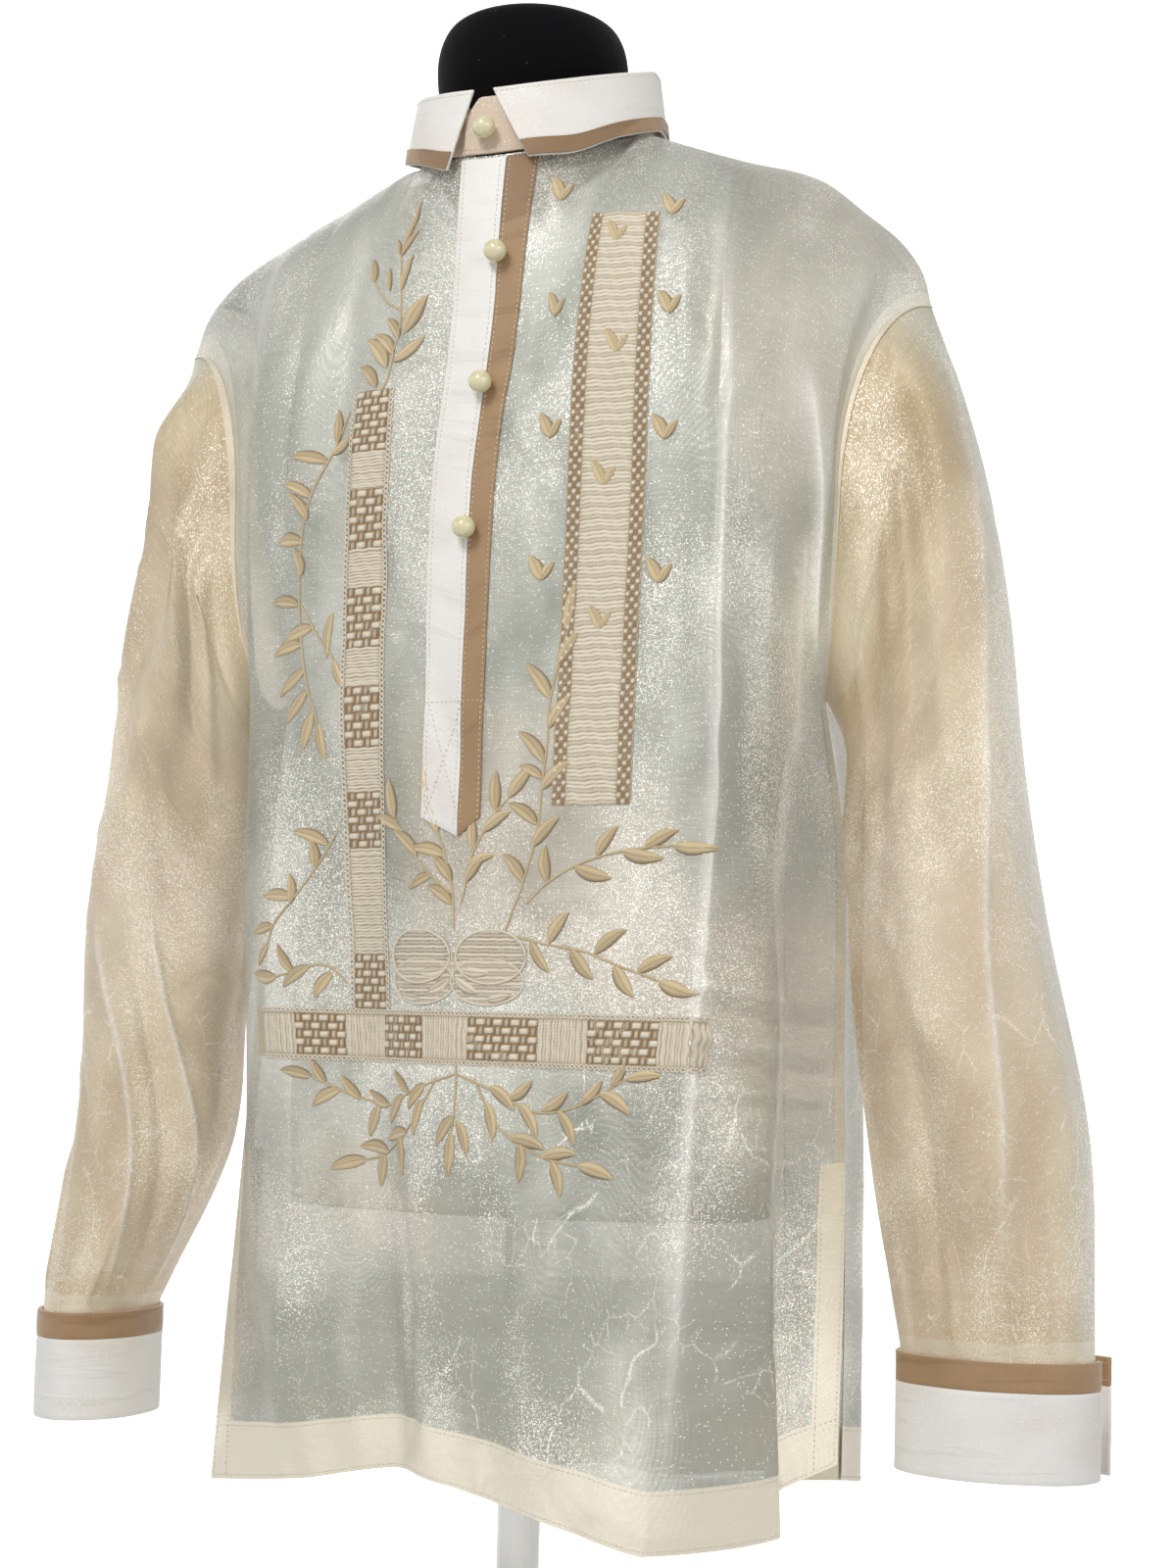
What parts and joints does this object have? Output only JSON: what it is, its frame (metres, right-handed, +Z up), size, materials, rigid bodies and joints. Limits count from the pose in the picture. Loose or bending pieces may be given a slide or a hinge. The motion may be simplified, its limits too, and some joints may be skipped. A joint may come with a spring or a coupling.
{
  "type": "barong tagalog shirt on a dress form",
  "caption": "Sheer long-sleeved barong tagalog shirt with turn-down collar, half placket, embroidered bands, side vents and buttoned cuffs, worn by a limbless dress form on a round stand.",
  "frame": {"origin": "centre of the stand base's underside", "axes": "+Z up, -Y the shirt's front, +X the wearer's left"},
  "size_m": [0.622, 0.2915, 0.947],
  "materials": {
    "sheer": "sheer silvery organza",
    "sheer_warm": "sheer warm cream organza",
    "hem": "doubled cream organza",
    "white": "satin-backed white cotton",
    "brown": "brown cotton trim",
    "thread": "gold-beige embroidery thread",
    "pearl": "cream pearl",
    "cover": "pale grey jersey cover",
    "velvet": "black velvet cover",
    "enamel": "white enamelled steel"
  },
  "bodies": {
    "root": {"front": "sheer", "back": "sheer", "sleeve_left": "sheer_warm", "sleeve_right": "sheer_warm", "cuff_left": "white", "cuff_right": "white", "cuff_band_left": "brown", "cuff_band_right": "brown", "cuff_button_left": "pearl", "cuff_button_right": "pearl", "collar_stand": "white", "collar_fall": "white", "collar_band": "brown", "placket_panel": "white", "placket_band": "brown", "band_narrow": "thread", "band_wide": "thread", "band_cross": "thread", "hem_front": "hem", "hem_back": "hem", "vent_facing_front_left": "hem", "vent_facing_front_right": "hem", "vent_facing_back_left": "hem", "vent_facing_back_right": "hem", "button_1": "pearl", "button_2": "pearl", "button_3": "pearl", "button_4": "pearl", "dress_form": "cover", "form_neck": "velvet", "stand_pole": "enamel", "stand_base": "enamel"}
  },
  "joints": []
}
